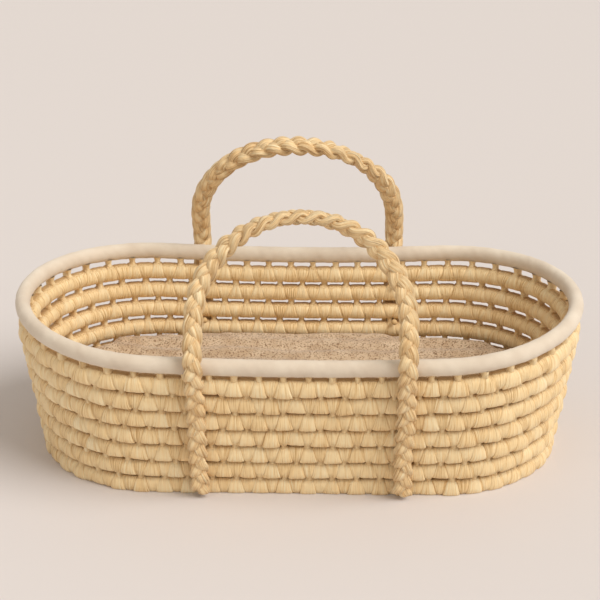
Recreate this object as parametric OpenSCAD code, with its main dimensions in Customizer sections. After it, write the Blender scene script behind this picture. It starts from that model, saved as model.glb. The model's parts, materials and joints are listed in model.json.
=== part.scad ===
// Moses basket: coiled and stitched rows, a bound rim, two braided handles and a mattress.
// +X is along the basket, +Y across it, +Z up; the origin is under the middle of the base.

/* [Basket] */
// Straight length of each side, between the two round ends
side_len = 410; // [340:10:460]
// Centreline radius of the round ends at the lowest row
base_r = 160; // [145:5:175]
// How much each row's radius grows over the row below
row_flare = 5; // [3:0.5:6]
// Height of the lowest row's centreline
first_row_z = 12; // [12:0.5:13]
// Height from one row's centreline to the next
row_pitch = 28.3; // [27.5:0.1:30]
// Half thickness of a wall row
row_t = 11.5; // [10.5:0.1:11.6]
// How much the rim's ends stand above its middle
rim_rise = 20; // [0:1:24]

/* [Base] */
// Half thickness of a base row
base_t = 11.3; // [10.5:0.1:11.3]
// Thickness of the husk strips that tie the base rows together
strip_t = 2; // [1:0.5:2]

/* [Stitches] */
// Stitches along one straight side of a row
side_stitches = 12; // [11:1:12]
// Stitches around one end of a row
end_stitches = 16; // [12:2:18]
// Width of a stitch along the row
stitch_w = 7; // [5:0.5:8]
// Thickness of a stitch through the wall
stitch_d = 6; // [4:0.5:6]
// How far a stitch reaches into the row above and below
stitch_grip = 2; // [1:0.5:3]

/* [Rim] */
// Radius of the row inside the rim binding
rim_core_r = 7.8; // [7:0.1:7.8]
// Inner radius of the binding
binding_in_r = 9; // [9:0.1:9.5]
// Outer radius of the binding
binding_r = 12.4; // [11:0.1:12.4]

/* [Handles] */
// Half the distance between a handle's legs at the bend
leg_x = 148; // [146:1:152]
// How much closer to the middle each leg's foot is than its top
leg_in = 5; // [3:1:10]
// How far each handle is set off the middle, the front one to +X and the back one to -X
handle_shift = 7; // [5:0.5:8]
// Width of the braid where it lies on the wall
braid_w = 28; // [22:1:30]
// Thickness of the braid
braid_t = 18; // [14:1:18]
// Gap between the wall rows and the braid
leg_gap = 1; // [1:0.1:1.5]
// Height of the tuck at the foot of each leg
tuck_h = 26; // [20:1:26]
// Height at which the handle bends
bend_z = 232; // [231:0.5:234]
// Free length of braid on each side of the bend
bend_clear = 13; // [13:0.5:15]
// Height of the middle of the handle
handle_z = 414; // [390:1:430]
// Distance of the middle of the handle from the basket's centre plane
handle_y = 137; // [120:1:150]
// Radius of the ties that sew the braid to the wall
tie_r = 2; // [1.5:0.1:2]
// Radius of the knot on the inner end of a tie
knot_r = 4.5; // [4:0.1:4.5]

/* [Mattress] */
// Radius of the mattress's round ends
mattress_r = 144; // [135:1:144]
// Height of the underside of the mattress
mattress_z = 25; // [25:0.1:27]
// Thickness of the mattress
mattress_h = 75; // [40:1:76]
// Thickness of the cover
cover_t = 1.5; // [1:0.1:2]
// Width of the zip
zip_h = 6; // [4:0.5:8]

/* [Hidden] */
ROWS = 7;
RIM = ROWS + 1;
BASE_RINGS = 6;
half_len = side_len / 2 + rim_r(); // end of the rim's centreline
end_steps = 14;
side_steps = 4;
wall_lean = atan(row_flare / row_pitch);
base_pitch = (base_r - row_t - base_t - 1.2) / BASE_RINGS;
// From the rows' centres to the braid's centre, square to the wall
leg_off = row_t + leg_gap + braid_t / 2;
// Braid's centre at floor level
leg_foot_y = base_r + leg_off / cos(wall_lean) - first_row_z * tan(wall_lean);
bend_y = leg_foot_y + bend_z * tan(wall_lean);
handle_lean = atan((bend_y - handle_y) / (handle_z - bend_z));
handle_h = (handle_z - bend_z) / cos(handle_lean);
arch_straight = handle_h - leg_x;
leg_splay = atan(leg_in * cos(wall_lean) / bend_z);
tie_rows = [2, 4, 6];
tie_near = 143; // distance of the ties from the middle, on the leg that is nearer to it
tie_far = 150; // and on the leg that is farther from it
tie_in = row_t + knot_r + 0.5;
slack = 0.4; // clearance of the foam in its cover
// Flat-sided rounded section of a row, for a half thickness of 1
SECTION = [[1, -0.42], [1, 0.42], [0.42, 1], [-0.42, 1], [-1, 0.42], [-1, -0.42], [-0.42, -1], [0.42, -1]];

function rim_r() = base_r + row_flare * 7;
function row_r(i) = base_r + row_flare * (i - 1);
function row_z(i) = first_row_z + row_pitch * (i - 1);
function rise(i, x) = rim_rise * (i - 1) / 7 * pow(x / half_len, 2);

// Stations around a row: [x, y, outward x, outward y], counter-clockwise from the front left
function around(r, sides, ends, shift) = concat(
    [for (k = [0 : sides - 1]) [side_len * ((k + shift) / sides - 0.5), -r, 0, -1]],
    [for (k = [0 : ends - 1]) let (a = 180 * (k + shift) / ends - 90)
        [side_len / 2 + r * cos(a), r * sin(a), cos(a), sin(a)]],
    [for (k = [0 : sides - 1]) [side_len * (0.5 - (k + shift) / sides), r, 0, 1]],
    [for (k = [0 : ends - 1]) let (a = 180 * (k + shift) / ends + 90)
        [-side_len / 2 + r * cos(a), r * sin(a), cos(a), sin(a)]]);

// Closed ring at row i with the given section, swept around the basket
module swept_ring(i, section) {
    st = around(row_r(i), side_steps, end_steps, 0);
    n = len(st);
    m = len(section);
    pts = [for (s = st) for (p = section)
        [s[0] + s[2] * p[0], s[1] + s[3] * p[0], row_z(i) + rise(i, s[0]) + p[1]]];
    faces = [for (a = [0 : n - 1]) for (j = [0 : m - 1])
        let (b = (a + 1) % n, k = (j + 1) % m)
        each [[a * m + j, a * m + k, b * m + k], [a * m + j, b * m + k, b * m + j]]];
    polyhedron(points = pts, faces = faces, convexity = 6);
}

// Flat ring of the base: two half rings and two straight lengths
module flat_ring(r, t) {
    translate([0, 0, t]) {
        for (side = [-1, 1])
            translate([side * side_len / 2, 0, 0])
                rotate([0, 0, -90 * side])
                    rotate_extrude(angle = 180, $fn = 96)
                        translate([r, 0])
                            polygon(t * SECTION);
        for (y = [-r, r])
            translate([-side_len / 2, y, 0])
                rotate([90, 0, 90])
                    linear_extrude(side_len)
                        polygon(t * SECTION);
    }
}

// Stadium outline with the given end radius
module outline(r) {
    square([side_len, 2 * r], center = true);
    for (side = [-1, 1])
        translate([side * side_len / 2, 0])
            circle(r, $fn = 96);
}

// Places its children at x on the wall of one side, square to the wall, between rows i and i + 1.
// Their +Y points out of the wall.
module on_wall(side, x, i) {
    r = row_r(i) + row_flare / 2;
    z = row_z(i) + row_pitch / 2 + (rise(i, x) + rise(i + 1, x)) / 2;
    rotate([0, 0, side > 0 ? 0 : 180])
        translate([side * x, r, z])
            rotate([-wall_lean, 0, 0])
                children();
}

// Places its children in line with a leg, with z from the floor.
// end is -1 for the left leg and 1 for the right.
module on_leg(side, end) {
    foot_x = end * (leg_x - leg_in) - side * handle_shift;
    rotate([0, 0, side > 0 ? 0 : 180])
        translate([side * foot_x, leg_foot_y, 0])
            rotate([-wall_lean, side * end * leg_splay, 0])
                children();
}

module base_centre_coil() {
    color("burlywood")
        translate([-side_len / 2, 0, base_t])
            rotate([90, 0, 90])
                linear_extrude(side_len)
                    polygon(base_t * SECTION);
}

module base_coil(k) {
    color("burlywood")
        flat_ring(k * base_pitch, base_t);
}

module base_stitches() {
    reach = base_r - row_t - 2;
    spokes = [-60, -30, 0, 30, 60];
    color("wheat")
        translate([0, 0, 2 * base_t]) {
            for (k = [-2 : 2])
                translate([k * side_len / 5 - 4, -reach, 0])
                    cube([8, 2 * reach, strip_t]);
            for (side = [0, 180])
                for (a = spokes)
                    rotate([0, 0, side])
                        translate([side_len / 2, 0, 0])
                            rotate([0, 0, a])
                                translate([22, -4, 0])
                                    cube([reach - 22, 8, strip_t]);
        }
}

module wall_coil(i) {
    color("burlywood")
        swept_ring(i, row_t * SECTION);
}

// Short ties between row i and the row above it, staggered from row to row
module wall_stitches(i) {
    r = row_r(i) + row_flare / 2;
    top_t = i == ROWS ? rim_core_r : row_t;
    gap = row_pitch / cos(wall_lean) - row_t - top_t;
    low_z = -row_pitch / cos(wall_lean) / 2 + row_t - stitch_grip;
    color("wheat")
        for (s = around(r, side_stitches, end_stitches, i % 2 / 2))
            translate([s[0], s[1], row_z(i) + row_pitch / 2 + (rise(i, s[0]) + rise(i + 1, s[0])) / 2])
                rotate([0, 0, atan2(s[3], s[2])])
                    rotate([0, wall_lean, 0])
                        translate([-stitch_d / 2, -stitch_w / 2, low_z])
                            cube([stitch_d, stitch_w, gap + 2 * stitch_grip]);
}

module rim_coil() {
    color("burlywood")
        swept_ring(RIM, rim_core_r * SECTION);
}

// Bias binding: a tube that is open along its underside, where it is sewn
module rim_binding() {
    open = 30;
    steps = 9;
    sweep = 360 - 2 * open;
    section = concat(
        [for (k = [0 : steps]) let (a = open - 90 + sweep * k / steps) binding_r * [cos(a), sin(a)]],
        [for (k = [steps : -1 : 0]) let (a = open - 90 + sweep * k / steps) binding_in_r * [cos(a), sin(a)]]);
    color("ivory")
        swept_ring(RIM, section);
}

// Braid along the outside of the wall, from above the tuck to just below the bend
module leg(side, end) {
    top = bend_z / cos(wall_lean) - bend_clear;
    low = tuck_h + 4;
    color("wheat")
        on_leg(side, end)
            translate([-braid_w / 2, -braid_t / 2, low])
                cube([braid_w, braid_t, top - low]);
}

// The braid's end, turned in and sewn flat at the foot of the wall
module tuck(side, end) {
    color("wheat")
        on_leg(side, end)
            translate([0, braid_t / 2, 4])
                rotate([90, 0, 0])
                    linear_extrude(braid_t - 1)
                        hull() {
                            for (dx = [-1, 1])
                                translate([dx * (braid_w / 2 - 5), 6])
                                    circle(6, $fn = 32);
                            translate([-braid_w / 2, tuck_h - 3])
                                square([braid_w, 2]);
                        }
}

// Husk ties that pass between the rows and hold the braid to the wall
module ties(side, end) {
    x = end * (side * end > 0 ? tie_near : tie_far);
    color("peru")
        for (i = tie_rows)
            on_wall(side, x, i) {
                rotate([-90, 0, 0])
                    translate([0, 0, -tie_in])
                        cylinder(r = tie_r, h = tie_in + leg_off - braid_t / 2 + 4, $fn = 32);
                translate([0, -tie_in, 0])
                    sphere(knot_r, $fn = 32);
            }
}

// The free arch of a handle, leaning in from the bend
module handle_arch(side) {
    w = braid_w / 2 - 2;
    t = braid_t / 2 + 1;
    flat = [for (p = SECTION) [p[0] * t, p[1] * w]];
    color("wheat")
        rotate([0, 0, side > 0 ? 0 : 180])
            translate([-handle_shift, bend_y, bend_z])
                rotate([handle_lean, 0, 0]) {
                    translate([0, 0, arch_straight])
                        rotate([90, 0, 0])
                            rotate_extrude(angle = 180, $fn = 96)
                                translate([leg_x, 0])
                                    polygon(flat);
                    for (x = [-leg_x, leg_x])
                        translate([x, 0, bend_clear])
                            linear_extrude(arch_straight - bend_clear)
                                polygon(flat);
                }
}

module mattress_foam() {
    color("white")
        translate([0, 0, mattress_z + cover_t + slack])
            linear_extrude(mattress_h - 2 * cover_t - 2 * slack)
                outline(mattress_r - cover_t - slack);
}

// Half of the cover: a shallow cup of the given height, open upwards
module cover_half(h) {
    difference() {
        linear_extrude(h)
            outline(mattress_r);
        translate([0, 0, cover_t])
            linear_extrude(h)
                outline(mattress_r - cover_t);
    }
}

module mattress_cover_base() {
    color("tan")
        translate([0, 0, mattress_z])
            cover_half(mattress_h / 2 - 0.1);
}

module mattress_cover_top() {
    color("tan")
        translate([0, 0, mattress_z + mattress_h])
            mirror([0, 0, 1])
                cover_half(mattress_h / 2 - 0.1);
}

// Zip tape around the seam of the cover
module mattress_zip() {
    color("white")
        translate([0, 0, mattress_z + mattress_h / 2 - zip_h / 2])
            linear_extrude(zip_h)
                difference() {
                    outline(mattress_r + 1.2);
                    outline(mattress_r + 0.05);
                }
}

module zip_puller() {
    color("silver")
        translate([0, mattress_r + 1.3, mattress_z + mattress_h / 2 - 14])
            translate([-3, 0, 0])
                cube([6, 1.2, 16]);
}

base_centre_coil();
base_coil(1);  // base_coil_1
base_coil(2);  // base_coil_2
base_coil(3);  // base_coil_3
base_coil(4);  // base_coil_4
base_coil(5);  // base_coil_5
base_coil(6);  // base_coil_6
base_stitches();
wall_coil(1);  // wall_coil_1
wall_coil(2);  // wall_coil_2
wall_coil(3);  // wall_coil_3
wall_coil(4);  // wall_coil_4
wall_coil(5);  // wall_coil_5
wall_coil(6);  // wall_coil_6
wall_coil(7);  // wall_coil_7
wall_stitches(1);  // wall_stitches_1
wall_stitches(2);  // wall_stitches_2
wall_stitches(3);  // wall_stitches_3
wall_stitches(4);  // wall_stitches_4
wall_stitches(5);  // wall_stitches_5
wall_stitches(6);  // wall_stitches_6
wall_stitches(7);  // wall_stitches_7
rim_coil();
rim_binding();
leg(-1, -1);  // front_left_leg
tuck(-1, -1);  // front_left_tuck
ties(-1, -1);  // front_left_ties
leg(-1, 1);  // front_right_leg
tuck(-1, 1);  // front_right_tuck
ties(-1, 1);  // front_right_ties
handle_arch(-1);  // front_handle_arch
leg(1, -1);  // back_left_leg
tuck(1, -1);  // back_left_tuck
ties(1, -1);  // back_left_ties
leg(1, 1);  // back_right_leg
tuck(1, 1);  // back_right_tuck
ties(1, 1);  // back_right_ties
handle_arch(1);  // back_handle_arch
mattress_foam();
mattress_cover_base();
mattress_cover_top();
mattress_zip();
zip_puller();
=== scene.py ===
"""Moses basket: detailed husk rows, knots, binding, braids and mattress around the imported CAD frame."""
import json
import math

import bmesh
import bpy
import numpy as np
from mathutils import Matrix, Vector


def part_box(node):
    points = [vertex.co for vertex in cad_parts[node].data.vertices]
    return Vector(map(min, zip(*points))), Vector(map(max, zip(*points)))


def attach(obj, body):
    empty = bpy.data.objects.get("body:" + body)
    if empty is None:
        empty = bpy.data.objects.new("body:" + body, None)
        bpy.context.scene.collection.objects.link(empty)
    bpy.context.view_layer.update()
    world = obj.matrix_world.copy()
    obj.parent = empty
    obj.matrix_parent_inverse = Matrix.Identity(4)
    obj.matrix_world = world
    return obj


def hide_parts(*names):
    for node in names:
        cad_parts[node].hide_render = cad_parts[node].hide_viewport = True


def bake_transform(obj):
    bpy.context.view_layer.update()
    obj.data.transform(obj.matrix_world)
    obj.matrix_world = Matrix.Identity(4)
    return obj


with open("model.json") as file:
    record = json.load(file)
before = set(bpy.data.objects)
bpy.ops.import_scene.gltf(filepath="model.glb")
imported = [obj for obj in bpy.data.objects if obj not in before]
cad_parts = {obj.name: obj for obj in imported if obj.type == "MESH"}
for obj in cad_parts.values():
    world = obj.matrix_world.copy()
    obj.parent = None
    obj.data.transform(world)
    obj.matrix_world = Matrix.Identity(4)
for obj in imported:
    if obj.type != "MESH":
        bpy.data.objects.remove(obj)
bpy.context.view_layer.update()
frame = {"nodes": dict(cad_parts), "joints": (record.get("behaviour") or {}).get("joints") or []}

# ---------------------------------------------------------------- sizes, in metres
MM = 0.001
ROWS = 7  # wall rows under the bound rim
BASE_RINGS = 6
SIDE_CELLS = 12  # stitches along one straight side
END_CELLS = 16  # stitches around one round end
CELLS = 2 * (SIDE_CELLS + END_CELLS)
ROW_T = 11.5 * MM  # half thickness of a wall row in CAD
rim_lo, rim_hi = (Vector(c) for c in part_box("rim_binding"))
BINDING_R = 12.4 * MM
RIM_R = rim_hi.y - BINDING_R  # centreline radius of the rim's round ends
HALF_SIDE = rim_hi.x - BINDING_R - RIM_R  # half the straight length of a side
HALF_LEN = HALF_SIDE + RIM_R
RIM_Z = rim_lo.z + BINDING_R
RIM_RISE = rim_hi.z - BINDING_R - RIM_Z  # how far the rim's ends stand above its middle
BASE_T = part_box("base_coil_1")[1][2] / 2
BASE_CELL = 34 * MM  # length of a stitch cell in the base
HUSK_PUFF = 0.6 * MM  # how far the husk of a wall row stands out past the CAD row
LIP = 3.6 * MM  # how far a fan's lower edge stands out from its row
KNOT_BULGE = 4.6 * MM  # how far a knot's middle swells outward
BINDING_SQUASH = 0.87  # the binding's width across the wall, as a share of its height
BINDING_SHIFT = 1.6 * MM  # keeps the outside of the squashed binding in place

rng = np.random.default_rng(7)


def row_size(i):
    """Centreline end radius and height of row i, counted from the floor; row 8 is the rim."""
    if i > ROWS:
        return RIM_R, RIM_Z
    lo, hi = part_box(f"wall_coil_{i}")
    return hi[1] - ROW_T, lo[2] + ROW_T


def row_rise(i, x):
    """How far row i stands above its middle at a distance x along the basket."""
    return RIM_RISE * (i - 1) / ROWS * (x / HALF_LEN) ** 2


R1, Z1 = row_size(1)
R2, Z2 = row_size(2)
LEAN = math.atan2(R2 - R1, Z2 - Z1)  # the wall leans outward by this angle


def around(cell, radius):
    """Point and outward direction at a place counted in stitch cells from the front left."""
    c = np.mod(cell, CELLS)
    half = CELLS / 2
    side = np.where(c < half, 1.0, -1.0)  # the second half is the first one turned by 180 degrees
    c = np.where(c < half, c, c - half)
    on_side = c < SIDE_CELLS
    angle = math.pi * (np.clip(c - SIDE_CELLS, 0, END_CELLS) / END_CELLS - 0.5)
    x = np.where(on_side, HALF_SIDE * (2 * c / SIDE_CELLS - 1), HALF_SIDE + radius * np.cos(angle))
    y = np.where(on_side, -radius, radius * np.sin(angle))
    nx = np.where(on_side, 0.0, np.cos(angle))
    ny = np.where(on_side, -1.0, np.sin(angle))
    return side * x, side * y, side * nx, side * ny


def smooth(a, b, x):
    """0 at a, 1 at b, and an even S between them."""
    t = np.clip((x - a) / (b - a), 0, 1)
    return t * t * (3 - 2 * t)


# ---------------------------------------------------------------- meshes
def new_piece(name, verts, faces, material, fibre=None, caps=()):
    """Mesh object. fibre is a value per face corner: across the fibres, along them, and a tone.

    caps are triangles that take the tone of the first corner and no streaks."""
    verts[:, 2] = np.maximum(verts[:, 2], 0)  # nothing reaches below the floor
    mesh = bpy.data.meshes.new(name)
    mesh.from_pydata(verts.tolist(), [], faces.tolist() + list(caps))
    if fibre is not None:
        values = fibre.reshape(-1, 3)
        cap_values = np.tile([0.0, 0.0, values[0, 2]], (3 * len(caps), 1))
        layer = mesh.attributes.new("fibre", "FLOAT_VECTOR", "CORNER")
        layer.data.foreach_set("vector", np.concatenate([values, cap_values]).reshape(-1).astype(np.float32))
    mesh.polygons.foreach_set("use_smooth", np.ones(len(mesh.polygons), bool))
    mesh.materials.append(material)
    mesh.update()
    piece = bpy.data.objects.new(name, mesh)
    bpy.context.scene.collection.objects.link(piece)
    return piece


def grid_faces(columns, rings, close_columns=True):
    """Quads of a grid whose vertex (c, r) is number c * rings + r, with each one's c and r."""
    c = np.arange(columns if close_columns else columns - 1)
    r = np.arange(rings)
    cc, rr = np.meshgrid(c, r, indexing="ij")
    c2, r2 = (cc + 1) % columns, (rr + 1) % rings
    quads = np.stack([cc * rings + rr, c2 * rings + rr, c2 * rings + r2, cc * rings + r2], -1)
    return quads.reshape(-1, 4), cc.reshape(-1), rr.reshape(-1)


# Angles around a row's section, 0 outward and 90 up, closest together at the lower outside edge
PHI = np.radians(np.concatenate([
    np.linspace(-90, -30, 13)[:-1],
    np.linspace(-30, 90, 15)[:-1],
    np.linspace(90, 270, 15)[:-1],
]))
A_STEPS, B_STEPS = 14, 11  # columns across a fan and across the strip between two fans
PINCH, SPREAD = 0.165, 0.39  # half width of a fan at its knot and at its lower edge, in cells


def husk_row(name, material, cells, place, radius, shift, lip):
    """One coiled row: fans that hang from the knots above it, and strips that rise from those below.

    place(cell, out, up) gives the point at that cell, out and up from the row's centreline."""
    deg = np.degrees(PHI)
    top_to_low = (1 - np.sin(PHI)) / 2
    # the outside of the section is pressed flatter than the inside
    outside = np.cos(PHI) > 1e-6
    section_out = np.where(outside, np.abs(np.cos(PHI)) ** 0.85, np.cos(PHI))
    section_up = np.where(outside, np.sign(np.sin(PHI)) * np.abs(np.sin(PHI)) ** 0.85, np.sin(PHI))
    centre = np.arange(cells) + shift
    jitter = rng.normal(0, 0.022, (4, cells))
    left = np.array([
        [centre[k] - PINCH + jitter[0, k], centre[k] - SPREAD + jitter[1, k]] for k in range(cells)])
    right = np.array([
        [centre[k] + PINCH + jitter[2, k], centre[k] + SPREAD + jitter[3, k]] for k in range(cells)])
    lip_k = lip * (1 + rng.normal(0, 0.22, cells))
    tilt_k = rng.normal(0, 0.35 * MM, cells)
    drop_k = rng.normal(0, 3.0, cells)
    # random tone per strip, plus painted light and shade: the raised fans are painted lighter and the
    # recessed strips between them darker
    tone = rng.random((cells, 2)) + [0.15, -0.15]
    lobes = rng.integers(3, 6, (cells, 2))
    phase = rng.random((cells, 2)) * 6.28
    va = np.sin(np.linspace(-1, 1, A_STEPS + 1) * math.pi / 2)
    vb = np.sin(np.linspace(-1, 1, B_STEPS + 1) * math.pi / 2)
    per_cell = A_STEPS + B_STEPS
    cols, out, up = [], [], []
    for k in range(cells):
        nxt = (k + 1) % cells
        wrap = cells if nxt == 0 else 0
        edges = [
            left[k, 0] + (left[k, 1] - left[k, 0]) * top_to_low,
            right[k, 0] + (right[k, 1] - right[k, 0]) * top_to_low,
            left[nxt, 0] + wrap + (left[nxt, 1] - left[nxt, 0]) * top_to_low,
        ]
        for family, vs in ((0, va[:-1]), (1, vb[:-1])):
            lo, hi = edges[family], edges[family + 1]
            for v in vs:
                c = lo + (hi - lo) * (v + 1) / 2
                crown = 1 - abs(v) ** 6
                fold = lobes[k, family] * 1.5 * v + phase[k, family]
                pleat = 0.42 * MM * (2 * abs(fold - np.round(fold)) - 0.5) * crown
                r = radius - 0.9 * MM + 1.3 * MM * crown + pleat
                wide = top_to_low if family == 0 else 1 - top_to_low
                r = r + 0.9 * MM * crown * smooth(0.16, 0.0, wide)
                low = deg + drop_k[k]
                bump = smooth(75, -40, low) * (1 - smooth(-58, -70, low))
                bump = np.where((deg > -90) & (deg < 90), bump, 0)
                if family == 0:
                    r = r + (lip_k[k] + tilt_k[k] * v) * bump
                else:
                    r = r + 0.5 * lip * bump
                cols.append(c)
                out.append(r * section_out)
                up.append(r * section_up)
    cols, out, up = np.array(cols), np.array(out), np.array(up)
    points = place(cols, out, up)
    faces, fc, fr = grid_faces(len(cols), len(PHI))
    # fibre coordinates, which start again in each strip
    v_all = np.concatenate([va, vb])
    starts = np.concatenate([np.arange(A_STEPS), A_STEPS + 1 + np.arange(B_STEPS)])
    cell_no, in_cell = fc // per_cell, fc % per_cell
    v0, v1 = v_all[starts[in_cell]], v_all[starts[in_cell] + 1]
    family = (in_cell >= A_STEPS).astype(int)
    # each face takes its strip's tone, with the painted light and shade of fans and strips
    tone_and_painted_light = tone[cell_no, family]
    step = np.diff(np.append(PHI, PHI[0] + 2 * math.pi))
    a0, a1 = PHI[fr], PHI[fr] + step[fr]
    offset = (cell_no * 2 + family) * 7.3
    across = np.stack([v0, v1, v1, v0], -1) * 13 + offset[:, None]
    along = np.stack([a0, a0, a1, a1], -1) * radius / MM
    # painted shade: the husk is darkened in the grooves between rows, where shade falls, above all outside
    depth = [
        smooth(0.80, 1.0, abs(np.sin(a))) * (0.35 + 0.65 * smooth(-0.3, 0.1, np.cos(a)))
        for a in (a0, a0, a1, a1)]
    painted_groove_shade = np.stack(depth, -1)
    # the tone, less the painted shade of the grooves, goes in the fibre's third value
    fibre = np.stack([across, along, tone_and_painted_light[:, None] - 2.8 * painted_groove_shade], -1)
    return new_piece(name, points, faces, material, fibre)


def wall_place(i):
    """Places points on wall row i, for husk_row()."""
    radius, height = row_size(i)

    def place(cell, out, up):
        x, y, nx, ny = around(cell, radius)
        return np.stack([x + nx * out, y + ny * out, height + row_rise(i, x) + up], -1).reshape(-1, 3)

    return place


def knots(name, material, i):
    """The short wrapped ties between row i and the row above it."""
    r_low, z_low = row_size(i)
    r_up, z_up = row_size(i + 1)
    up_t = BINDING_R if i == ROWS else ROW_T
    gap = math.hypot(r_up - r_low, z_up - z_low)
    turn = np.linspace(0, 2 * math.pi, 13)[:-1]
    levels = np.linspace(-1, 1, 9)
    verts, faces, fibres = [], [], []
    for k in range(CELLS):
        c = k + i % 2 / 2 + rng.normal(0, 0.012)
        x, y, nx, ny = (float(a) for a in around(np.array(c), (r_low + r_up) / 2))
        z = (z_low + z_up) / 2 + (row_rise(i, x) + row_rise(i + 1, x)) / 2 + (ROW_T - up_t) / 2
        wide = 5.3 * MM * (1 + rng.normal(0, 0.08))
        deep = 6.2 * MM * (1 + rng.normal(0, 0.06))
        half = (gap - ROW_T - up_t) / 2 + 3.6 * MM
        phase = rng.random() * 6.28
        base = len(verts)
        for lv in levels:
            waist = 0.84 + 0.40 * abs(lv) ** 1.5
            for a in turn:
                lump = 1 + 0.07 * math.sin(5 * a + phase)
                n_out = deep * waist * lump * math.cos(a)
                n_out += KNOT_BULGE * (1 - lv ** 2) * (1 + math.cos(a)) / 2
                side = wide * waist * lump * math.sin(a)
                rise = half * lv
                out = n_out * math.cos(LEAN) + rise * math.sin(LEAN)
                high = rise * math.cos(LEAN) - n_out * math.sin(LEAN)
                verts.append((x + nx * out - ny * side, y + ny * out + nx * side, z + high))
        f, fc, fr = grid_faces(len(levels), len(turn), close_columns=False)
        faces.append(f[:, ::-1] + base)
        tone = rng.random()
        a0, a1 = fr * 2.6, (fr + 1) * 2.6
        b0, b1 = fc * 2.0, (fc + 1) * 2.0
        quad = np.stack([
            np.stack([a0, a1, a1, a0], -1) + k * 9.1,
            np.stack([b0, b0, b1, b1], -1)[:, ::-1],
            np.full((len(f), 4), tone)], -1)
        fibres.append(quad)
    return new_piece(name, np.array(verts), np.concatenate(faces), material, np.concatenate(fibres))


def sweep(name, path, side_dir, face_dir, half_side, half_face, material, sides=20, tone=0.5,
          ridge=0.0, seed=0.0, power=1.0):
    """Closed tube along a path. side_dir and face_dir are unit vectors across it at each point, and
    half_side and half_face its half sizes there. A power under 1 makes the section squarer."""
    turn = np.linspace(0, 2 * math.pi, sides + 1)[:-1]
    n = len(path)
    length = np.concatenate([[0], np.cumsum(np.linalg.norm(np.diff(path, axis=0), axis=1))])
    cos_t = np.sign(np.cos(turn)) * np.abs(np.cos(turn)) ** power
    sin_t = np.sign(np.sin(turn)) * np.abs(np.sin(turn)) ** power
    wave = 1 + ridge * np.sin(
        turn[None, :] * 6 + 2.2 * np.sin(length[:, None] * 55 + seed) + seed) \
        + 0.6 * ridge * np.sin(turn[None, :] * 11 + length[:, None] * 160 + 2 * seed)
    pts = path[:, None, :] \
        + side_dir[:, None, :] * (half_side[:, None] * cos_t[None, :] * wave)[:, :, None] \
        + face_dir[:, None, :] * (half_face[:, None] * sin_t[None, :] * wave)[:, :, None]
    faces, fc, fr = grid_faces(n, sides, close_columns=False)
    unit = 2 * math.pi * 6.0 / sides
    a0, a1 = fr * unit, (fr + 1) * unit
    b0 = length[fc] / MM
    b1 = length[fc + 1] / MM
    fibre = np.stack([
        np.stack([a0, a0, a1, a1], -1) + seed * 17,
        np.stack([b0, b1, b1, b0], -1),
        np.full((len(faces), 4), tone)], -1)
    # each end is closed by a fan of triangles around its middle
    pts = pts.reshape(-1, 3)
    total = len(pts)
    k = np.arange(sides)
    k2 = (k + 1) % sides
    caps = [[total, int(b), int(a)] for a, b in zip(k, k2)]
    caps += [[total + 1, int(total - sides + a), int(total - sides + b)] for a, b in zip(k, k2)]
    pts = np.vstack([pts, pts[:sides].mean(0), pts[-sides:].mean(0)])
    return new_piece(name, pts, faces, material, fibre, caps)


# ---------------------------------------------------------------- materials
def node_material(name):
    mat = bpy.data.materials.new(name)
    mat.use_nodes = True
    tree = mat.node_tree
    return mat, tree, tree.nodes["Principled BSDF"]


def add(tree, kind, **values):
    node = tree.nodes.new(kind)
    for key, value in values.items():
        setattr(node, key, value)
    return node


def ramp(tree, stops):
    node = tree.nodes.new("ShaderNodeValToRGB")
    elements = node.color_ramp.elements
    while len(elements) < len(stops):
        elements.new(0.5)
    for element, (place, colour) in zip(elements, stops):
        element.position = place
        element.color = (*colour, 1)
    return node


def srgb(r, g, b):
    """Linear colour from 0 to 255 display values."""
    return tuple(((c / 255 + 0.055) / 1.055) ** 2.4 if c > 10 else c / 3294 for c in (r, g, b))


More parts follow.
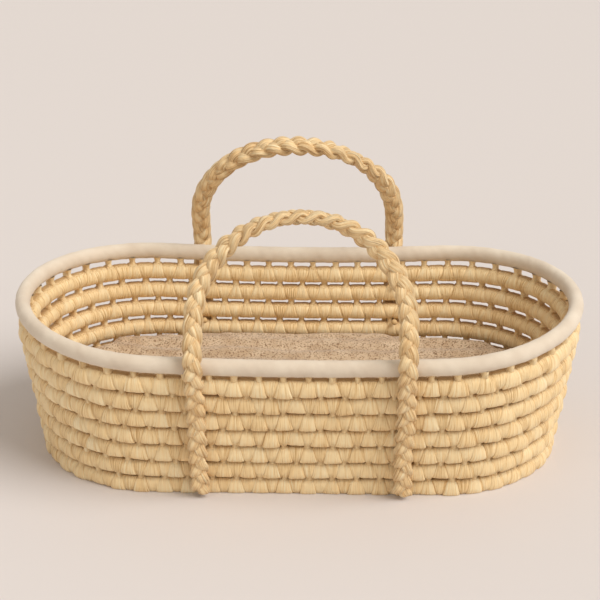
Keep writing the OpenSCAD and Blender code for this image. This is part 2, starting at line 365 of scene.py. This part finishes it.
def husk_material(name, dark, middle, light, streak=1.0):
    """Dry husk with long fibre streaks, laid along the mesh's fibre values. streak scales their relief."""
    mat, tree, bsdf = node_material(name)
    link = tree.links.new
    fibre = add(tree, "ShaderNodeAttribute", attribute_name="fibre")
    parts = add(tree, "ShaderNodeSeparateXYZ")
    link(fibre.outputs["Vector"], parts.inputs[0])

    def streaks(across, along, detail):
        mapping = add(tree, "ShaderNodeMapping")
        mapping.inputs["Scale"].default_value = (across, along, 5.0)
        link(fibre.outputs["Vector"], mapping.inputs["Vector"])
        noise = add(tree, "ShaderNodeTexNoise")
        noise.inputs["Scale"].default_value = 1.0
        noise.inputs["Detail"].default_value = detail
        noise.inputs["Roughness"].default_value = 0.62
        link(mapping.outputs[0], noise.inputs["Vector"])
        return noise.outputs["Fac"]

    fine = streaks(1.15, 0.05, 3.0)
    broad = streaks(0.52, 0.022, 2.5)
    blotch = streaks(0.05, 0.05, 2.0)
    total = add(tree, "ShaderNodeMath", operation="MULTIPLY_ADD")
    total.inputs[1].default_value = 0.50
    link(fine, total.inputs[0])
    half = add(tree, "ShaderNodeMath", operation="MULTIPLY")
    half.inputs[1].default_value = 0.62
    link(broad, half.inputs[0])
    link(half.outputs[0], total.inputs[2])
    # the fibre's third value shifts the colour: a random tone, and on the husk rows also painted light and
    # shade
    plus = add(tree, "ShaderNodeMath", operation="MULTIPLY_ADD")
    plus.inputs[1].default_value = 0.09
    link(parts.outputs["Z"], plus.inputs[0])
    link(total.outputs[0], plus.inputs[2])
    more = add(tree, "ShaderNodeMath", operation="MULTIPLY_ADD")
    more.inputs[1].default_value = 0.16
    link(blotch, more.inputs[0])
    link(plus.outputs[0], more.inputs[2])
    colours = ramp(tree, [(0.50, dark), (0.66, middle), (0.86, light)])
    link(more.outputs[0], colours.inputs[0])
    link(colours.outputs[0], bsdf.inputs["Base Color"])
    bump = add(tree, "ShaderNodeBump")
    bump.inputs["Strength"].default_value = 0.9 * streak
    bump.inputs["Distance"].default_value = 0.0022
    link(total.outputs[0], bump.inputs["Height"])
    link(bump.outputs[0], bsdf.inputs["Normal"])
    rough = add(tree, "ShaderNodeMapRange")
    rough.inputs["To Min"].default_value = 0.46
    rough.inputs["To Max"].default_value = 0.78
    link(fine, rough.inputs["Value"])
    link(rough.outputs[0], bsdf.inputs["Roughness"])
    bsdf.inputs["Specular IOR Level"].default_value = 0.5
    bsdf.inputs["Sheen Weight"].default_value = 0.12
    bsdf.inputs["Sheen Roughness"].default_value = 0.5
    return mat


def cloth_material(name, dark, light, weave, depth, blotch_scale=22.0, roughness=0.9, speck=None):
    """Woven cloth. weave is threads per metre; speck is a colour for scattered darker fibres."""
    mat, tree, bsdf = node_material(name)
    link = tree.links.new
    coord = add(tree, "ShaderNodeTexCoord")
    mottled = add(tree, "ShaderNodeTexNoise")
    mottled.inputs["Scale"].default_value = blotch_scale
    mottled.inputs["Detail"].default_value = 5.0
    link(coord.outputs["Object"], mottled.inputs["Vector"])
    colours = ramp(tree, [(0.35, dark), (0.68, light)])
    link(mottled.outputs["Fac"], colours.inputs[0])
    colour = colours.outputs[0]
    threads = add(tree, "ShaderNodeTexNoise")
    threads.inputs["Scale"].default_value = weave
    threads.inputs["Detail"].default_value = 2.0
    threads.inputs["Roughness"].default_value = 0.7
    link(coord.outputs["Object"], threads.inputs["Vector"])
    if speck is not None:
        mask = ramp(tree, [(0.52, (0, 0, 0)), (0.62, (1, 1, 1))])
        link(threads.outputs["Fac"], mask.inputs[0])
        mix = add(tree, "ShaderNodeMix", data_type="RGBA")
        sockets = {s.name: s for s in mix.inputs if s.type == "RGBA"}
        sockets["B"].default_value = (*speck, 1)
        link(mask.outputs[0], mix.inputs[0])
        link(colour, sockets["A"])
        colour = next(s for s in mix.outputs if s.type == "RGBA")
    link(colour, bsdf.inputs["Base Color"])
    bump = add(tree, "ShaderNodeBump")
    bump.inputs["Strength"].default_value = 0.8
    bump.inputs["Distance"].default_value = depth
    link(threads.outputs["Fac"], bump.inputs["Height"])
    link(bump.outputs[0], bsdf.inputs["Normal"])
    bsdf.inputs["Roughness"].default_value = roughness
    bsdf.inputs["Specular IOR Level"].default_value = 0.2
    bsdf.inputs["Sheen Weight"].default_value = 0.25
    bsdf.inputs["Sheen Roughness"].default_value = 0.6
    return mat


husk = husk_material("husk", srgb(200, 157, 97), srgb(247, 214, 158), srgb(255, 237, 195))
husk_knot = husk_material("husk_knot", srgb(196, 156, 100), srgb(242, 210, 156), srgb(252, 232, 190))
braid_husk = husk_material("braid_husk", srgb(186, 142, 86), srgb(238, 202, 147), srgb(254, 235, 192), 1.8)
tie_husk = husk_material("tie_husk", srgb(176, 138, 88), srgb(214, 180, 126), srgb(236, 210, 164))
binding_cloth = cloth_material("binding_cloth", srgb(216, 199, 177), srgb(230, 216, 195), 1100, 0.0005)
cover_cloth = cloth_material(
    "cover_cloth", srgb(194, 165, 131), srgb(217, 192, 160), 380, 0.0028, 45.0, 0.95, srgb(130, 96, 60))
zip_tape = cloth_material("zip_tape", srgb(214, 200, 180), srgb(228, 216, 198), 1800, 0.0003)

# ---------------------------------------------------------------- wall, rim and base
for i in range(1, ROWS + 1):
    row = husk_row(f"husk_row_{i}", husk, CELLS, wall_place(i), ROW_T + HUSK_PUFF, i % 2 / 2, LIP)
    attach(row, "basket")
    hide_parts(f"wall_coil_{i}")
    knot = knots(f"knots_above_row_{i}", husk_knot, i)
    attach(knot, "basket")
    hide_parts(f"wall_stitches_{i}")


def bound_rim():
    """The binding, a smooth roll with a few soft wrinkles and a seam under it."""
    columns, sides = 900, 32
    cell = np.linspace(0, CELLS, columns + 1)[:-1]
    turn = np.linspace(0, 2 * math.pi, sides + 1)[:-1]
    x, y, nx, ny = around(cell, RIM_R)
    s = cell / CELLS * 2 * math.pi
    soft = sum(
        rng.uniform(0.05, 0.12) * MM * np.sin(k * s[:, None] + m * turn[None, :] + rng.uniform(0, 6.28))
        for k, m in ((23, 1), (37, 2), (61, 1), (89, 2), (131, 3)))
    seam = -1.6 * MM * np.exp(-((np.degrees(turn)[None, :] - 286) / 7) ** 2)
    r = BINDING_R - 0.1 * MM + soft + seam
    out, up = BINDING_SHIFT + BINDING_SQUASH * r * np.cos(turn), r * np.sin(turn)
    pts = np.stack([
        x[:, None] + nx[:, None] * out,
        y[:, None] + ny[:, None] * out,
        RIM_Z + row_rise(ROWS + 1, x)[:, None] + up], -1).reshape(-1, 3)
    faces, _, _ = grid_faces(columns, sides)
    return new_piece("rim_binding_cloth", pts, faces, binding_cloth)


rim = bound_rim()
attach(rim, "basket")
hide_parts("rim_binding", "rim_coil")


def base_place(radius):
    """Places points on a base ring of this end radius, for husk_row()."""
    def place(cell, out, up):
        cells = base_cells(radius)
        x, y, nx, ny = around_base(cell, cells, radius)
        return np.stack([x + nx * out, y + ny * out, BASE_T + up], -1).reshape(-1, 3)

    return place


def base_cells(radius):
    """Number of stitch cells that fit around a base ring."""
    return int(round((4 * HALF_SIDE + 2 * math.pi * radius) / BASE_CELL))


def around_base(cell, cells, radius):
    """As around(), with the cells spaced evenly along the whole ring."""
    total = 4 * HALF_SIDE + 2 * math.pi * radius
    s = np.mod(cell / cells, 1) * total
    half = total / 2
    side = np.where(s < half, 1.0, -1.0)
    s = np.where(s < half, s, s - half)
    on_side = s < 2 * HALF_SIDE
    angle = np.clip((s - 2 * HALF_SIDE) / radius, 0, math.pi) - math.pi / 2
    x = np.where(on_side, s - HALF_SIDE, HALF_SIDE + radius * np.cos(angle))
    y = np.where(on_side, -radius, radius * np.sin(angle))
    nx = np.where(on_side, 0.0, np.cos(angle))
    ny = np.where(on_side, -1.0, np.sin(angle))
    return side * x, side * y, side * nx, side * ny


for k in range(1, BASE_RINGS + 1):
    ring_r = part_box(f"base_coil_{k}")[1][1] - BASE_T
    ring = husk_row(
        f"base_ring_{k}", husk, base_cells(ring_r), base_place(ring_r), BASE_T - 0.6 * MM, k % 2 / 2, 0.0)
    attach(ring, "basket")
    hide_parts(f"base_coil_{k}")

CORE_STEPS = 160
core_x = np.linspace(-HALF_SIDE, HALF_SIDE, CORE_STEPS)
core_path = np.stack([core_x, 0 * core_x, 0 * core_x + BASE_T], -1)
core_half = (BASE_T - 0.4 * MM) * np.sqrt(
    np.clip(1 - (np.abs(core_x) / (HALF_SIDE + 0.5 * MM)) ** 40, 0.02, 1))
core = sweep(
    "base_core", core_path, np.tile([0, 1.0, 0], (CORE_STEPS, 1)), np.tile([0, 0, 1.0], (CORE_STEPS, 1)),
    core_half, core_half, husk, sides=28, ridge=0.02)
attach(core, "basket")
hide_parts("base_centre_coil")

# ---------------------------------------------------------------- handles
LEG_X = 148 * MM  # half the distance between a handle's legs at the bend
LEG_IN = 5 * MM  # how much closer together their feet are
SHIFT = 7 * MM  # the front handle is set off the middle towards +X, the back one towards -X
BRAID_T = 18 * MM
LEG_GAP = 1 * MM
leg_off = ROW_T + LEG_GAP + BRAID_T / 2
foot_y = R1 + leg_off / math.cos(LEAN) - Z1 * math.tan(LEAN)
joints = {j["name"]: j for j in frame["joints"]}
hinge = Vector(joints["back_handle_fold"]["pos_m"])
bend_y, bend_z = hinge.y, hinge.z
TOP_Z = 414 * MM  # the middle of the handle
TOP_Y = 137 * MM
handle_lean = math.atan2(bend_y - TOP_Y, TOP_Z - bend_z)
straight = math.hypot(bend_y - TOP_Y, TOP_Z - bend_z) - LEG_X
STRAND_PERIOD = 72 * MM  # length in which a strand crosses over and comes back
STRAND_SWAY = 6.1 * MM  # how far a strand swings to each side
STRAND_DEPTH = 5.5 * MM  # and in front of and behind the others
STRAND_SIDE = 8.0 * MM  # half width of a strand
STRAND_FACE = 5.1 * MM  # half thickness of a strand
STEP = 1.6 * MM  # distance between points of a braid's centreline


def handle_line(side):
    """Centreline of one handle from its left foot over the top to its right foot, with two directions
    across it: out, away from the basket at the legs, and flank, in the plane of the handle."""
    low = 7 * MM
    legs = np.arange(low, bend_z / math.cos(LEAN), STEP)
    leg_up = np.array([0, math.sin(LEAN), math.cos(LEAN)])
    leg = np.array([-LEG_X + LEG_IN, foot_y, 0]) + legs[:, None] * leg_up
    leg[:, 0] -= LEG_IN * legs / legs[-1]
    rise = np.array([0, -math.sin(handle_lean), math.cos(handle_lean)])
    bend = np.array([-LEG_X, bend_y, bend_z])
    shaft = bend + np.arange(STEP, straight, STEP)[:, None] * rise
    turn = np.arange(0, math.pi / 2, STEP / LEG_X)
    centre = np.array([0, bend_y, bend_z]) + straight * rise
    arc = centre + LEG_X * (np.outer(np.sin(turn), rise) - np.outer(np.cos(turn), [1, 0, 0]))
    half = np.vstack([leg, shaft, arc])
    out_leg = np.tile([0, math.cos(LEAN), -math.sin(LEAN)], (len(leg), 1))
    out_arch = np.tile([0, math.cos(handle_lean), math.sin(handle_lean)], (len(shaft) + len(arc), 1))
    out = np.vstack([out_leg, out_arch])
    flip = np.array([-1, 1, 1])
    line = np.vstack([half, half[::-1] * flip])
    out = np.vstack([out, out[::-1]])
    window = np.exp(-0.5 * (np.arange(-22, 23) * STEP / (11 * MM)) ** 2)
    window /= window.sum()

    def soften(a):
        padded = np.vstack([2 * a[0] - a[22:0:-1], a, 2 * a[-1] - a[-2:-24:-1]])
        return np.stack([np.convolve(padded[:, k], window, "valid") for k in range(3)], -1)

    line, out = soften(line), soften(out)
    line[:, 0] -= SHIFT
    if side < 0:
        line, out = line * [-1, -1, 1], out * [-1, -1, 1]
    tangent = np.gradient(line, axis=0)
    tangent /= np.linalg.norm(tangent, axis=1)[:, None]
    out -= (out * tangent).sum(1)[:, None] * tangent
    out /= np.linalg.norm(out, axis=1)[:, None]
    return line, out, np.cross(tangent, out)


def braid(name, side, nodes):
    """One handle from foot to foot as three plaited strands, in place of these CAD nodes."""
    line, out, flank = handle_line(side)
    length = np.concatenate([[0], np.cumsum(np.linalg.norm(np.diff(line, axis=0), axis=1))])
    share = length / length[-1]
    # the flat braid turns by a quarter on its way up, so that its edge shows at the top
    twist = math.pi / 2 * smooth(0.30, 0.50, share) + math.pi / 2 * smooth(0.50, 0.70, share)
    wide = flank * np.cos(twist)[:, None] + out * np.sin(twist)[:, None]
    face = out * np.cos(twist)[:, None] - flank * np.sin(twist)[:, None]
    end = np.minimum(length, length[-1] - length)
    spread = 1 + 0.28 * smooth(20 * MM, 4 * MM, end)
    for k in range(3):
        angle = 2 * math.pi * (length / STRAND_PERIOD + k / 3)
        path = line + wide * (STRAND_SWAY * np.sin(angle) * spread)[:, None] \
            - face * (STRAND_DEPTH * np.sin(2 * angle) * (1 - 0.3 * smooth(14 * MM, 2 * MM, end)))[:, None]
        direction = np.gradient(path, axis=0)
        direction /= np.linalg.norm(direction, axis=1)[:, None]
        thin = face - (face * direction).sum(1)[:, None] * direction
        thin /= np.linalg.norm(thin, axis=1)[:, None]
        broad = np.cross(direction, thin)
        close = np.sqrt(np.clip(1 - (1 - np.clip(end / (6 * MM), 0, 1)) ** 2, 0.05, 1))
        swell = 1 + 0.04 * np.sin(length * 130 + 2.1 * k) + 0.02 * np.sin(length * 317 + k)
        strand = sweep(
            f"{name}_strand_{k + 1}", path, broad, thin, STRAND_SIDE * close * swell,
            STRAND_FACE * close * swell, braid_husk, sides=40, tone=0.30 + 0.3 * k / 2, ridge=0.04,
            seed=1.7 * k + side, power=0.72)
        if k == 0:
            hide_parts(*nodes)
        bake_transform(strand)


for word, side in (("front", -1), ("back", 1)):
    parts = [f"{word}_{x}_{p}" for x in ("left", "right") for p in ("leg", "tuck")]
    braid(f"{word}_braid", side, parts + [f"{word}_handle_arch"])

# ---------------------------------------------------------------- mattress
matt_lo = Vector(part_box("mattress_cover_base")[0])
matt_hi = Vector(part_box("mattress_cover_top")[1])
MATT_R = matt_hi.y


def stadium(radius, count):
    """Points around a stadium, evenly spaced."""
    x, y, _, _ = around_base(np.arange(count), count, radius)
    return np.stack([x, y], -1)


def mattress():
    """The filled cover: a pad with soft ribs and edges, rounded out by a cloth simulation."""
    shrink = 4 * MM
    mesh = bpy.data.meshes.new("mattress_start")
    bm = bmesh.new()
    ring = stadium(MATT_R - shrink, 220)
    low = [bm.verts.new((p[0], p[1], matt_lo.z + 3 * MM)) for p in ring]
    high = [bm.verts.new((p[0], p[1], matt_hi.z - 3 * MM)) for p in ring]
    bm.faces.new(low[::-1])
    bm.faces.new(high)
    for a in range(len(ring)):
        b = (a + 1) % len(ring)
        bm.faces.new((low[a], low[b], high[b], high[a]))
    bmesh.ops.triangulate(bm, faces=[f for f in bm.faces if len(f.verts) > 4])
    bm.to_mesh(mesh)
    bm.free()
    pad = bpy.data.objects.new("mattress_cover", mesh)
    bpy.context.scene.collection.objects.link(pad)
    bpy.context.view_layer.objects.active = pad
    remesh = pad.modifiers.new("remesh", "REMESH")
    remesh.mode = "VOXEL"
    remesh.voxel_size = 6 * MM
    graph = bpy.context.evaluated_depsgraph_get()
    pad.data = bpy.data.meshes.new_from_object(pad.evaluated_get(graph))
    pad.modifiers.clear()
    start = np.array([v.co for v in pad.data.vertices], float)
    co = start.copy()
    cloth = pad.modifiers.new("cloth", "CLOTH")
    cloth.settings.quality = 5
    cloth.settings.mass = 0.3
    cloth.settings.tension_stiffness = 12
    cloth.settings.compression_stiffness = 12
    cloth.settings.use_pressure = True
    cloth.settings.uniform_pressure_force = 4
    cloth.settings.effector_weights.gravity = 0
    cloth.collision_settings.use_collision = False
    cloth.point_cache.frame_end = 20
    scene = bpy.context.scene
    for f in range(1, 21):
        scene.frame_set(f)
    graph = bpy.context.evaluated_depsgraph_get()
    baked = pad.evaluated_get(graph).to_mesh()
    co = np.array([v.co for v in baked.vertices], float)
    pad.evaluated_get(graph).to_mesh_clear()
    pad.modifiers.clear()
    scene.frame_set(1)
    move = co - start
    cap = np.array([4 * MM, 4 * MM, 4 * MM])
    co = start + np.clip(move, -cap, cap)
    # above the second row it spreads towards the sloping wall
    spill = 1 + 12 * MM / MATT_R * smooth(matt_lo.z + 30 * MM, matt_hi.z - 14 * MM, co[:, 2])
    middle = np.stack([np.clip(co[:, 0], -HALF_SIDE, HALF_SIDE), np.zeros(len(co))], -1)
    co[:, :2] = middle + (co[:, :2] - middle) * spill[:, None]
    # the underside lies flat on the base
    co[:, 2] = np.maximum(co[:, 2], matt_lo.z)
    # rows of ribs across the knit, wandering a little
    x, y, z = co.T
    top = smooth(matt_hi.z - 14 * MM, matt_hi.z - 5 * MM, z)
    drift = 5 * MM * np.sin(x * 9 + 1.3) + 3 * MM * np.sin(x * 23) + 2 * MM * np.sin(x * 41 + y * 30)
    rib = np.abs(np.sin((y + drift) * math.pi / (34 * MM))) - 0.6
    z = z + top * (6.5 * MM * rib + 1.2 * MM * np.sin(x * 31 + 2 * np.sin(y * 40)) - 0.5 * MM)
    # and the edge stands up where it meets the wall
    away = np.linalg.norm(co[:, :2] - middle, axis=1)
    z += top * 5 * MM * smooth(MATT_R - 55 * MM, MATT_R, away)
    co[:, 2] = np.minimum(z, matt_hi.z + 5 * MM)
    pad.data.vertices.foreach_set("co", co.reshape(-1).astype(np.float32))
    pad.data.update()
    sub = pad.modifiers.new("subdivide", "SUBSURF")
    sub.levels = sub.render_levels = 1
    graph = bpy.context.evaluated_depsgraph_get()
    pad.data = bpy.data.meshes.new_from_object(pad.evaluated_get(graph))
    pad.modifiers.clear()
    pad.data.polygons.foreach_set("use_smooth", np.ones(len(pad.data.polygons), bool))
    pad.data.materials.clear()
    pad.data.materials.append(cover_cloth)
    return pad


pad = mattress()
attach(pad, "mattress")
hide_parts("mattress_cover_base", "mattress_cover_top", "mattress_foam")

for node, material in (("mattress_zip", zip_tape), ("zip_puller", zip_tape)):
    frame["nodes"][node].data.materials.clear()
    frame["nodes"][node].data.materials.append(material)
for node in frame["nodes"]:
    if node == "base_stitches" or node.endswith("_ties"):
        frame["nodes"][node].data.materials.clear()
        frame["nodes"][node].data.materials.append(tie_husk)

# ---------------------------------------------------------------- floor, light and camera
floor_mat, floor_tree, floor_bsdf = node_material("floor")
floor_bsdf.inputs["Base Color"].default_value = (*srgb(217, 210, 206), 1)
floor_bsdf.inputs["Roughness"].default_value = 0.85
floor_bsdf.inputs["Specular IOR Level"].default_value = 0.15
floor_verts = np.array([(-9, -9, 0), (9, -9, 0), (9, 9, 0), (-9, 9, 0)], float)
floor = new_piece("floor", floor_verts, np.array([[0, 1, 2, 3]]), floor_mat)

world = bpy.data.worlds.new("studio")
bpy.context.scene.world = world
world.use_nodes = True
world.node_tree.nodes["Background"].inputs["Color"].default_value = (*srgb(250, 243, 234), 1)
world.node_tree.nodes["Background"].inputs["Strength"].default_value = 0.56


def area_light(name, place, target, size, power, colour):
    data = bpy.data.lights.new(name, "AREA")
    data.shape = "SQUARE"
    data.size = size
    data.energy = power
    data.color = colour
    lamp = bpy.data.objects.new(name, data)
    lamp.location = place
    lamp.rotation_euler = (Vector(target) - Vector(place)).to_track_quat("-Z", "Y").to_euler()
    bpy.context.scene.collection.objects.link(lamp)
    return lamp


sun_data = bpy.data.lights.new("key", "SUN")
sun_data.energy = 2.35
sun_data.angle = math.radians(42)
sun_data.color = (1.0, 0.985, 0.975)
sun = bpy.data.objects.new("key", sun_data)
sun.rotation_euler = (-Vector((1.1, -0.52, 1.4))).to_track_quat("-Z", "Y").to_euler()
bpy.context.scene.collection.objects.link(sun)
area_light("fill", (-2.6, -3.0, 2.2), (0, 0, 0.15), 2.6, 15, (1.0, 0.985, 0.97))

scene = bpy.context.scene
scene.view_settings.view_transform = "Standard"
scene.view_settings.look = "None"

AZIMUTH = math.radians(1.34)
ELEVATION = math.radians(24.75)
DISTANCE = 3.2
TARGET = Vector((0.0013, 0, 0.2257))
lens = bpy.data.cameras.new("camera")
lens.sensor_width = 36
lens.lens = 131.87
lens.clip_end = 50
camera = bpy.data.objects.new("camera", lens)
offset = Vector((
    math.sin(AZIMUTH) * math.cos(ELEVATION), -math.cos(AZIMUTH) * math.cos(ELEVATION), math.sin(ELEVATION)))
camera.location = TARGET + DISTANCE * offset
camera.rotation_euler = (-offset).to_track_quat("-Z", "Y").to_euler()
scene.collection.objects.link(camera)
scene.camera = camera
